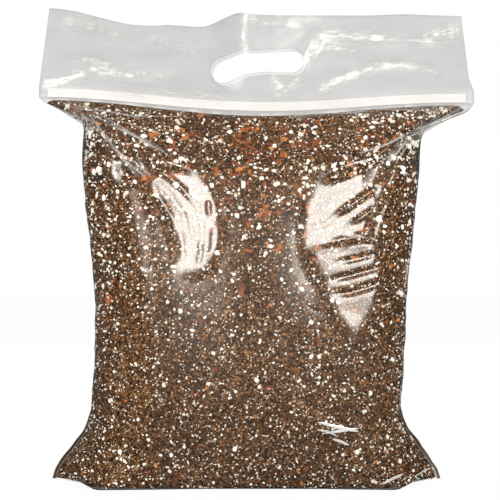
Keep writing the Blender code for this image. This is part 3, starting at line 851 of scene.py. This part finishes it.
def make_fill(material):
    """The compost as one closed rough body."""
    points, faces, start = [], [], 0
    for side in (FRONT, BACK):
        heap = FillPanel(side)
        surface = heap.smooth
        follow = film_relief(heap)
        rough = 0.28 * MM * noise(surface, 0.0042, 11) + 0.20 * MM * noise(surface, 0.0021, 12)
        reach = np.abs(heap.across)
        fade = smooth_step((2 - reach) / 0.12) * smooth_step(surface[..., 2] / 0.004)
        push = np.minimum(follow, 0.25 * follow) + rough * fade
        surface = surface + heap.normal * push[..., None]
        crest = surface[-1] * np.array([1, 0, 1]) + np.array([0, 0, 0.5 * MM])
        surface = np.concatenate([surface, crest[None]])
        points.append(surface.reshape(-1, 3))
        quads = grid_faces(surface.shape[0] - 1, FILL_COLUMNS, side == BACK)
        faces += (quads + start).tolist()
        start += len(points[-1])
    heap = make_piece("compost_heap", np.concatenate(points), faces, material)
    weld(heap)
    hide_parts("compost_fill")


def weld(piece):
    """Joins points that lie on each other."""
    shape = bmesh.new()
    shape.from_mesh(piece.data)
    bmesh.ops.remove_doubles(shape, verts=shape.verts, dist=0.00002)
    shape.to_mesh(piece.data)
    shape.free()


def points_and_triangles(shape):
    """A shape's corner points and triangles as arrays."""
    points = np.array([v.co[:] for v in shape.verts])
    faces = np.array([[v.index for v in f.verts] for f in shape.faces])
    shape.free()
    return points, faces


def lump_shape(detail):
    """A small ball, for grains and crumbs."""
    shape = bmesh.new()
    bmesh.ops.create_icosphere(shape, subdivisions=detail, radius=1.0)
    return points_and_triangles(shape)


def shard_shape():
    """A box, for splinters and chips with sharp corners."""
    shape = bmesh.new()
    bmesh.ops.create_cube(shape, size=1.6)
    bmesh.ops.triangulate(shape, faces=shape.faces[:])
    return points_and_triangles(shape)


def random_turns(dice, count):
    """Evenly spread random rotations as matrices."""
    four = dice.normal(size=(count, 4))
    w, x, y, z = (four / np.linalg.norm(four, axis=1, keepdims=True)).T
    return np.stack([
        np.stack([1 - 2 * (y * y + z * z), 2 * (x * y - z * w), 2 * (x * z + y * w)], -1),
        np.stack([2 * (x * y + z * w), 1 - 2 * (x * x + z * z), 2 * (y * z - x * w)], -1),
        np.stack([2 * (x * z - y * w), 2 * (y * z + x * w), 1 - 2 * (x * x + y * y)], -1),
    ], axis=1)


class Ground:
    """Random places on the film, spread evenly by area."""

    def __init__(self, films):
        self.panels = []
        for film in films:
            rows = len(row_places()) - 8
            points, normal = film.points[:rows], film.normal[:rows]
            across = film.across[:rows]
            side = np.linalg.norm(np.gradient(points, axis=1), axis=-1)
            tall = np.linalg.norm(np.gradient(points, axis=0), axis=-1)
            place = film.place[:rows]
            empty_ear = (place > 8.6) & (across > 1.72) | (place > 10.4) & (np.abs(across) > 1.5)
            area = side * tall * (np.abs(across) < 1.95) * (points[..., 2] > 0.002) * ~empty_ear
            self.panels.append((points.reshape(-1, 3), normal.reshape(-1, 3), area.ravel()))

    def pick(self, dice, count, weigh):
        """Places and outward directions; weigh gives how likely each point is."""
        points = np.concatenate([p for p, _, _ in self.panels])
        normal = np.concatenate([n for _, n, _ in self.panels])
        area = np.concatenate([a for _, _, a in self.panels]) * weigh(points)
        chosen = dice.choice(len(points), size=count, p=area / area.sum())
        jitter = dice.uniform(-0.5, 0.5, size=(count, 3)) * MM
        jitter -= normal[chosen] * np.sum(jitter * normal[chosen], axis=1, keepdims=True)
        return points[chosen] + jitter, normal[chosen]


def flat_turns(dice, normals, tilt):
    """Rotations that lay a lump's thin third axis near the outward direction."""
    out = normals + tilt * dice.normal(size=normals.shape)
    out /= np.linalg.norm(out, axis=1, keepdims=True)
    side = np.cross(out, dice.normal(size=normals.shape))
    side /= np.linalg.norm(side, axis=1, keepdims=True)
    return np.stack([side, np.cross(out, side), out], axis=-1)


def scatter(name, ground, seed, count, sizes, weigh, lump, stretch, material, wrap, depth,
            flat=None):
    """Many small lumps in one mesh, pressed against the inside of the film.

    sizes gives each lump's half width, and stretch its two lesser half widths as shares.
    wrap is how knobbly the lumps are, and flat how far flat ones tilt from the film.
    depth is how far the outermost lumps stay below the film, in millimetres."""
    dice = np.random.default_rng(seed)
    base, triangles = lump
    places, normals = ground.pick(dice, count, weigh)
    radius = sizes(dice, places)
    shares = np.stack([np.ones(count), dice.uniform(*stretch[0], count),
                       dice.uniform(*stretch[1], count)], axis=1)
    turns = random_turns(dice, count) if flat is None else flat_turns(dice, normals, flat)
    knobs = 1 + wrap * dice.uniform(-1, 1, size=(count, len(base)))
    shapes = base[None] * knobs[..., None] * (shares * radius[:, None])[:, None, :]
    shapes = np.einsum("nij,nvj->nvi", turns, shapes)
    rise = np.einsum("nvi,ni->nv", shapes, normals)
    # What stands past the film is flattened against it.
    outermost = rise.max(axis=1)
    sunk = np.maximum(depth * MM + 0.72 * outermost, 1.05 * MM - 0.4 * outermost)
    limit = sunk - depth * MM
    over = np.maximum(rise - limit[:, None], 0)
    shapes -= normals[:, None, :] * over[..., None]
    shapes += (places - normals * sunk[:, None])[:, None, :]
    faces = (triangles[None] + (np.arange(count) * len(base))[:, None, None]).reshape(-1, 3)
    piece = make_piece(name, shapes.reshape(-1, 3), faces.tolist(), material, smooth=False)


# Materials

def node(tree, kind, inputs=None, **settings):
    """Adds a node; an input may be a plain value or another node's output."""
    made = tree.nodes.new(kind)
    for name, value in settings.items():
        setattr(made, name, value)
    for socket, value in (inputs or {}).items():
        if isinstance(value, bpy.types.NodeSocket):
            tree.links.new(value, made.inputs[socket])
        else:
            made.inputs[socket].default_value = value
    return made


def math_node(tree, operation, first, second, clamp=False):
    made = node(tree, "ShaderNodeMath", {0: first, 1: second}, operation=operation, use_clamp=clamp)
    return made.outputs[0]


def times(tree, first, second):
    return math_node(tree, "MULTIPLY", first, second)


def mix_colour(tree, share, first, second, blend="MIX"):
    made = node(tree, "ShaderNodeMix", {0: share, 6: first, 7: second},
                data_type="RGBA", blend_type=blend)
    return made.outputs[2]


def ramp(tree, source, stops):
    """A colour ramp through (place, colour) stops."""
    made = node(tree, "ShaderNodeValToRGB", {0: source})
    band = made.color_ramp.elements
    band[0].position, band[0].color = stops[0][0], (*stops[0][1], 1)
    band[1].position, band[1].color = stops[-1][0], (*stops[-1][1], 1)
    for place, colour in stops[1:-1]:
        stop = band.new(place)
        stop.color = (*colour, 1)
    return made.outputs[0]


def new_material(name):
    material = bpy.data.materials.new(name)
    material.use_nodes = True
    tree = material.node_tree
    tree.nodes.clear()
    return material, tree


def finish_material(tree, shader):
    node(tree, "ShaderNodeOutputMaterial", {"Surface": shader})


def object_place(tree):
    return node(tree, "ShaderNodeTexCoord").outputs["Object"]


def noise_value(tree, place, scale, detail=3.0, roughness=0.55):
    made = node(tree, "ShaderNodeTexNoise",
                {"Vector": place, "Scale": scale, "Detail": detail, "Roughness": roughness})
    return made.outputs[0]


def scaled_place(tree, scale):
    return node(tree, "ShaderNodeMapping",
                {"Vector": object_place(tree), "Scale": scale}).outputs[0]


def separate(tree, colour):
    """A colour's red, green and blue."""
    return node(tree, "ShaderNodeSeparateColor", {0: colour}).outputs


def bump_normal(tree, height, strength, distance, invert=False):
    made = node(tree, "ShaderNodeBump",
                {"Height": height, "Strength": strength, "Distance": distance}, invert=invert)
    return made.outputs[0]


def principled(tree, colour, rough, more):
    made = node(tree, "ShaderNodeBsdfPrincipled",
                {"Base Color": colour, "Roughness": rough, **more})
    return made.outputs[0]


def mix_shader(tree, share, first, second):
    return node(tree, "ShaderNodeMixShader", {0: share, 1: first, 2: second}).outputs[0]


def film_material():
    """Clear glossy film: faintly hazy, milky where it lies double, less opaque where dusty along
    the sides, with painted shade on its side edges and foot and painted highlights on creases.
    """
    material, tree = new_material("clear_film_look")
    place = object_place(tree)
    marks = node(tree, "ShaderNodeAttribute", attribute_name="film_marks").outputs
    haze_and_highlight = node(tree, "ShaderNodeAttribute", attribute_name="film_haze_and_highlights").outputs
    header, side, rim = separate(tree, marks["Color"])
    # White holds the painted highlights on the header's creases and on the glint pleats.
    white, double, matt = separate(tree, haze_and_highlight["Color"])
    band = marks["Alpha"]
    cloud = ramp(tree, noise_value(tree, scaled_place(tree, (0.35, 1.0, 1.0)), 60.0, 5.0, 0.6),
                 [(0.32, (0, 0, 0)), (0.72, (1, 1, 1))])
    milky = mix_colour(tree, cloud, (0.21, 0.212, 0.212, 1), (0.37, 0.372, 0.372, 1))
    colour = mix_colour(tree, band, (0.92, 0.92, 0.91, 1), (0.24, 0.21, 0.18, 1))
    # The side tint is painted shade: a dark strip down the side edges and along the foot.
    for share, tint in ((double, (0.66, 0.64, 0.60, 1)), (side, (0.045, 0.028, 0.017, 1)),
                        (header, milky), (times(tree, rim, 0.35), (0.45, 0.45, 0.45, 1)),
                        # The white tint is the painted highlight.
                        (white, (0.95, 0.95, 0.94, 1))):
        colour = mix_colour(tree, share, colour, tint)
    normal = bump_normal(tree, noise_value(tree, place, 150.0, 1.0), 0.02, 0.0005)
    glance = node(tree, "ShaderNodeLayerWeight", {"Blend": 0.5, "Normal": normal})
    graze = math_node(tree, "POWER", glance.outputs["Facing"], 4.0)
    alpha = math_node(tree, "SUBTRACT", FILM_OPACITY, times(tree, matt, DUST_OPACITY_LOSS))
    # Side raises the opacity of the painted edge shade, and white raises the opacity of the painted
    # highlights.
    for mark, share in ((graze, 0.40), (header, 0.24), (side, 0.70), (band, 0.26),
                        (double, 0.46), (white, 0.66), (rim, 0.25)):
        alpha = math_node(tree, "ADD", alpha, times(tree, mark, share), clamp=True)
    # The painted edge shade, the empty band and doubled film are less metallic.
    dull = math_node(tree, "MAXIMUM", side, math_node(tree, "MAXIMUM", band, double))
    metallic = math_node(tree, "SUBTRACT", 0.93, times(tree, header, 0.78))
    metallic = math_node(tree, "SUBTRACT", metallic, times(tree, dull, 0.9), clamp=True)
    rough = math_node(tree, "ADD", 0.21, times(tree, header, 0.07))
    shader = principled(tree, colour, rough, {"Metallic": metallic, "Normal": normal})
    clear_part = node(tree, "ShaderNodeBsdfTransparent").outputs[0]
    finish_material(tree, mix_shader(tree, alpha, clear_part, shader))
    return material


def compost_material():
    """Dark brown crumbs with paler grains and fine dust."""
    material, tree = new_material("compost_look")
    place = object_place(tree)
    crumbs = node(tree, "ShaderNodeTexVoronoi", {"Vector": place, "Scale": 760.0}).outputs
    specks = node(tree, "ShaderNodeTexVoronoi", {"Vector": place, "Scale": 1000.0}).outputs
    brown = ramp(tree, separate(tree, crumbs["Color"])[0], [
        (0.0, (0.014, 0.006, 0.0025)), (0.40, (0.066, 0.031, 0.013)),
        (0.80, (0.160, 0.078, 0.031)), (0.96, (0.28, 0.140, 0.058)),
        (1.0, (0.42, 0.23, 0.10))])
    patch = noise_value(tree, place, 26.0, 4.0)
    brown = mix_colour(tree, ramp(tree, patch, [(0.40, (0, 0, 0)), (0.7, (1, 1, 1))]),
                       brown, (0.62, 0.58, 0.55, 1), "MULTIPLY")
    pale = ramp(tree, separate(tree, specks["Color"])[1],
                [(0.95, (0, 0, 0)), (0.97, (1, 1, 1))])
    colour = mix_colour(tree, pale, brown, (0.60, 0.52, 0.42, 1))
    normal = bump_normal(tree, crumbs["Distance"], 0.8, 0.0012, invert=True)
    finish_material(tree, principled(tree, colour, 0.93,
                                     {"Normal": normal, "Specular IOR Level": 0.15}))
    return material


def grain_material(name, stops, scale, rough, streak):
    """Loose bits whose colour changes from bit to bit, mottled at a fine scale."""
    material, tree = new_material(name)
    which = node(tree, "ShaderNodeNewGeometry").outputs["Random Per Island"]
    base = ramp(tree, which, stops)
    mottle = noise_value(tree, object_place(tree), scale)
    shade = ramp(tree, mottle, [(0.3, (1 - streak,) * 3), (0.7, (1, 1, 1))])
    colour = mix_colour(tree, 1.0, base, shade, "MULTIPLY")
    normal = bump_normal(tree, mottle, 0.5, 0.0005)
    finish_material(tree, principled(tree, colour, rough,
                                     {"Normal": normal, "Specular IOR Level": 0.2}))
    return material


def zip_material():
    """Satin white plastic with the faint lines of its drawn profile."""
    material, tree = new_material("zip_look")
    lines = noise_value(tree, scaled_place(tree, (8.0, 8.0, 900.0)), 1.0, 2.0, 0.5)
    colour = mix_colour(tree, lines, (0.90, 0.90, 0.89, 1), (0.97, 0.97, 0.96, 1))
    normal = bump_normal(tree, lines, 0.3, 0.0003)
    finish_material(tree, principled(tree, colour, 0.35, {"Normal": normal}))
    return material


# Stage

def glow(tree, kind, strength):
    """A white glow of the given node kind."""
    return node(tree, kind, {"Color": (1, 1, 1, 1), "Strength": strength}).outputs[0]


def floor_material():
    """A pale floor that cameras see nearly white, with the shadow kept."""
    material, tree = new_material("floor_look")
    mottle = noise_value(tree, object_place(tree), 6.0)
    colour = mix_colour(tree, mottle, (0.86, 0.86, 0.86, 1), (0.90, 0.90, 0.90, 1))
    white = glow(tree, "ShaderNodeEmission", 1.0)
    seen = node(tree, "ShaderNodeLightPath").outputs["Is Camera Ray"]
    finish_material(tree, mix_shader(tree, times(tree, seen, FLOOR_WHITE_SHARE),
                                     principled(tree, colour, 0.85, {}), white))
    return material


def make_stage_mesh(name, build, material):
    mesh = bpy.data.meshes.new(name)
    shape = bmesh.new()
    build(shape)
    shape.to_mesh(mesh)
    shape.free()
    mesh.materials.append(material)
    made = bpy.data.objects.new(name, mesh)
    bpy.context.scene.collection.objects.link(made)
    return made


def make_floor():
    def build(shape):
        bmesh.ops.create_grid(shape, x_segments=1, y_segments=1, size=6.0)
    floor = make_stage_mesh("floor", build, floor_material())
    floor.location.z = -0.0004


def make_dark_walls():
    """Dark studio walls and ground that only reflections see, so the film has no veil."""
    def build_walls(shape):
        bmesh.ops.create_uvsphere(shape, u_segments=48, v_segments=24, radius=4.0)

    def build_ground(shape):
        bmesh.ops.create_grid(shape, x_segments=1, y_segments=1, size=3.9)
    for name, build, height in (("dark_walls", build_walls, 0.0),
                                ("dark_ground", build_ground, -0.0002)):
        material, tree = new_material(name + "_look")
        finish_material(tree, glow(tree, "ShaderNodeEmission", DARK_WALL_GLOW))
        made = make_stage_mesh(name, build, material)
        made.location.z = height
        for ray in ("camera", "diffuse", "transmission", "shadow", "volume_scatter"):
            setattr(made, "visible_" + ray, False)


def make_world():
    """White behind everything, and a plain soft light on the object."""
    world = bpy.data.worlds.new("studio")
    bpy.context.scene.world = world
    world.use_nodes = True
    tree = world.node_tree
    tree.nodes.clear()
    path = node(tree, "ShaderNodeLightPath").outputs
    seen = math_node(tree, "MAXIMUM", path["Is Camera Ray"], path["Is Glossy Ray"])
    seen = math_node(tree, "MAXIMUM", seen, path["Is Transmission Ray"])
    soft = glow(tree, "ShaderNodeBackground", WORLD_STRENGTH)
    white = glow(tree, "ShaderNodeBackground", 1.0)
    node(tree, "ShaderNodeOutputWorld", {"Surface": mix_shader(tree, seen, soft, white)})


def add_softbox(name, place, target, width, height, power):
    """A rectangular soft light that looks at target."""
    lamp = bpy.data.lights.new(name, "AREA")
    lamp.shape = "RECTANGLE"
    lamp.size = width
    lamp.size_y = height
    lamp.energy = power
    lamp.color = LAMP_COLOUR
    holder = bpy.data.objects.new(name, lamp)
    bpy.context.scene.collection.objects.link(holder)
    holder.location = place
    way = Vector(target) - Vector(place)
    holder.rotation_euler = way.to_track_quat("-Z", "Y").to_euler()
    return holder


def mirror_place(film, turn, lift, middle, distance):
    """Where a lamp stands so that the camera sees its reflection in the middle of a facet."""
    gap = np.hypot(film.points[..., 0] - middle[0] * MM, film.points[..., 2] - middle[1] * MM)
    spot = film.points.reshape(-1, 3)[np.argmin(gap)]
    normal = facing(turn, lift)
    view = np.array(CAMERA_PLACE) - spot
    view = view / np.linalg.norm(view)
    mirrored = 2 * normal.dot(view) * normal - view
    return tuple(spot + mirrored * distance), tuple(spot)


def make_lights(film):
    """Two softboxes that the stretched facets mirror, and broad ones in front and behind."""
    for name, facet, power in (("softbox_left", LEFT_FACET, 9.4),
                               ("softbox_right", RIGHT_FACET, 8.6)):
        place, spot = mirror_place(film, *facet[:3], MIRRORED_LAMP_DISTANCE)
        add_softbox(name, place, spot, *MIRRORED_LAMP_SIZE, power)
    high = add_softbox("softbox_high", (-0.15, -1.15, 1.35), (0, 0, 0.2), 1.3, 0.8, 11.0)
    back = add_softbox("softbox_back", (0.5, 1.8, 1.3), (0, 0, 0.2), 1.4, 1.0, 22.0)
    high.visible_glossy = back.visible_glossy = False


def make_camera():
    lens = bpy.data.cameras.new("camera")
    lens.lens = CAMERA_LENS
    lens.sensor_width = 36.0
    lens.clip_end = 30.0
    holder = bpy.data.objects.new("camera", lens)
    holder.location = CAMERA_PLACE
    holder.rotation_euler = (math.radians(90), 0, 0)
    bpy.context.scene.collection.objects.link(holder)
    bpy.context.scene.camera = holder


# Contents, and the whole

def clumps(points, size, seed):
    """Gathers grains into loose groups."""
    return 0.35 + 1.3 * smooth_step(0.5 + 0.9 * noise(points, size, seed))


def fewer_below(points):
    """The upper half holds more grains."""
    return (0.40 + 0.60 * smooth_step((points[:, 2] - 0.12) / 0.12)) * clumps(points, 0.018, 61)


def all_over(points):
    return clumps(points, 0.014, 62)


def evenly(points):
    return np.ones(len(points))


def bark_spread(points):
    """Most bark lies in the upper middle of the front."""
    top = smooth_step((points[:, 2] - 0.17) / 0.06) * smooth_step((0.300 - points[:, 2]) / 0.02)
    middle = np.exp(-((points[:, 0] / 0.048) ** 2))
    return (0.10 + 1.3 * top * (0.14 + 0.86 * middle)) * clumps(points, 0.016, 63)**2


def bounded_sizes(middle, spread, low, high, less_below=0.0):
    """A maker of random half widths, given in millimetres, smaller towards the foot if asked."""
    def sizes(dice, places):
        upper = smooth_step((places[:, 2] - 0.11) / 0.12)
        found = np.clip(middle * dice.lognormal(0, spread, len(places)), low, high)
        return found * (1 - less_below * (1 - upper)) * MM
    return sizes


def make_contents(films):
    ground = Ground(films)
    soil = compost_material()
    make_fill(soil)
    perlite = grain_material("perlite_look", [
        (0.0, (0.74, 0.66, 0.54)), (0.3, (0.88, 0.83, 0.74)), (1.0, (0.95, 0.93, 0.88))],
        900.0, 0.8, 0.16)
    bark = grain_material("bark_look", [
        (0.0, (0.13, 0.050, 0.024)), (0.35, (0.27, 0.085, 0.030)),
        (0.75, (0.49, 0.150, 0.046)), (1.0, (0.70, 0.31, 0.095))], 420.0, 0.75, 0.6)
    crumb = grain_material("crumb_look", [
        (0.0, (0.018, 0.009, 0.005)), (0.45, (0.075, 0.039, 0.020)),
        (0.88, (0.16, 0.088, 0.046)), (1.0, (0.28, 0.16, 0.085))], 800.0, 0.9, 0.6)
    straw = grain_material("fibre_look", [
        (0.0, (0.16, 0.080, 0.036)), (1.0, (0.40, 0.22, 0.10))], 300.0, 0.8, 0.3)
    fine, coarse, shard = lump_shape(2), lump_shape(1), shard_shape()
    round_shares = ((0.6, 1.0), (0.5, 0.9))
    scatter("perlite_large", ground, 101, 1650, bounded_sizes(1.40, 0.42, 0.6, 3.1, 0.25),
            fewer_below, fine, round_shares, perlite, 0.20, 0.16)
    scatter("perlite_small", ground, 102, 6000, bounded_sizes(0.72, 0.34, 0.4, 1.4),
            all_over, coarse, round_shares, perlite, 0.3, 0.16)
    scatter("bark_chips", ground, 103, 1500, bounded_sizes(1.9, 0.55, 0.8, 6.0, 0.2),
            bark_spread, shard, ((0.25, 0.75), (0.15, 0.35)), bark, 0.35, 0.22, flat=0.35)
    scatter("soil_crumbs", ground, 104, 8000, bounded_sizes(0.85, 0.38, 0.4, 2.2),
            evenly, coarse, round_shares, crumb, 0.3, 0.60)
    scatter("plant_fibres", ground, 105, 320, bounded_sizes(2.8, 0.45, 1.2, 8.0),
            evenly, coarse, ((0.06, 0.11), (0.05, 0.10)), straw, 0.1, 0.40, flat=0.2)


def main():
    make_camera()
    make_world()
    make_floor()
    make_dark_walls()
    front, back = Panel(FRONT_COLUMNS, FRONT), Panel(BACK_COLUMNS, BACK)
    make_lights(front)
    film = film_material()
    make_film("film_front", front, film, (0.0, 0.0))
    make_film("film_back", back, film, BACK_HOLE_SHIFT)
    make_pleats(front, film)
    make_contents((front, back))
    white = zip_material()
    for name in ("zip_front_track", "zip_back_track"):
        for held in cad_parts[name].material_slots:
            held.material = white
    bpy.context.scene.view_settings.view_transform = "Standard"


main()
